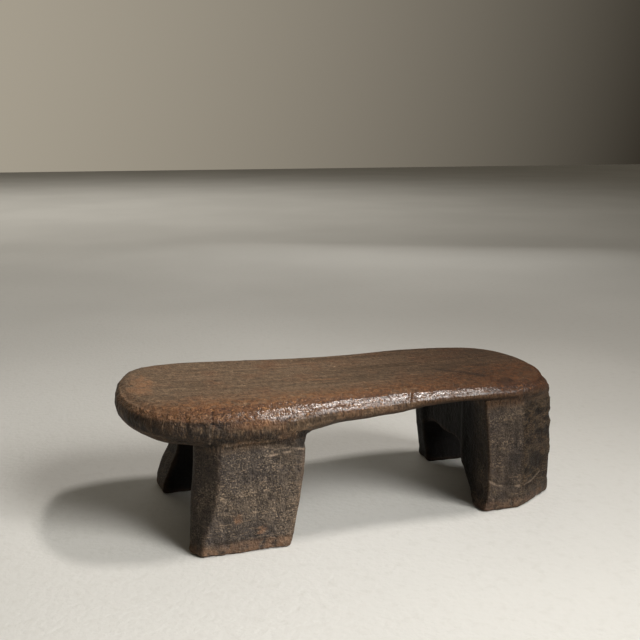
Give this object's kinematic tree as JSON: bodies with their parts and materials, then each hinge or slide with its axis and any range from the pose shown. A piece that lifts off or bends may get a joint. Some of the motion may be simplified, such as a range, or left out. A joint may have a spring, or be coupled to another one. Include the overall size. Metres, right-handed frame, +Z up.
{
  "type": "headrest",
  "caption": "Low carved wooden headrest: a thick waisted oblong slab with a rounded rim on splayed plank-like legs joined at each end by an arched web.",
  "frame": {"origin": "on the floor, under the middle of the object's bounding box", "axes": "+X along the slab from its left end to its right end, +Y from front to back, +Z up"},
  "size_m": [0.4478, 0.1978, 0.1354],
  "materials": {
    "handled_wood": "dark hardwood, worn and polished by handling along the rim",
    "sooty_wood": "dark hardwood, adzed and matte with soot and dust"
  },
  "bodies": {
    "root": {"slab": "handled_wood", "leg_front_left": "sooty_wood", "leg_rear_left": "sooty_wood", "leg_front_right": "sooty_wood", "leg_rear_right": "sooty_wood", "web_left": "sooty_wood", "web_right": "sooty_wood"}
  },
  "joints": []
}
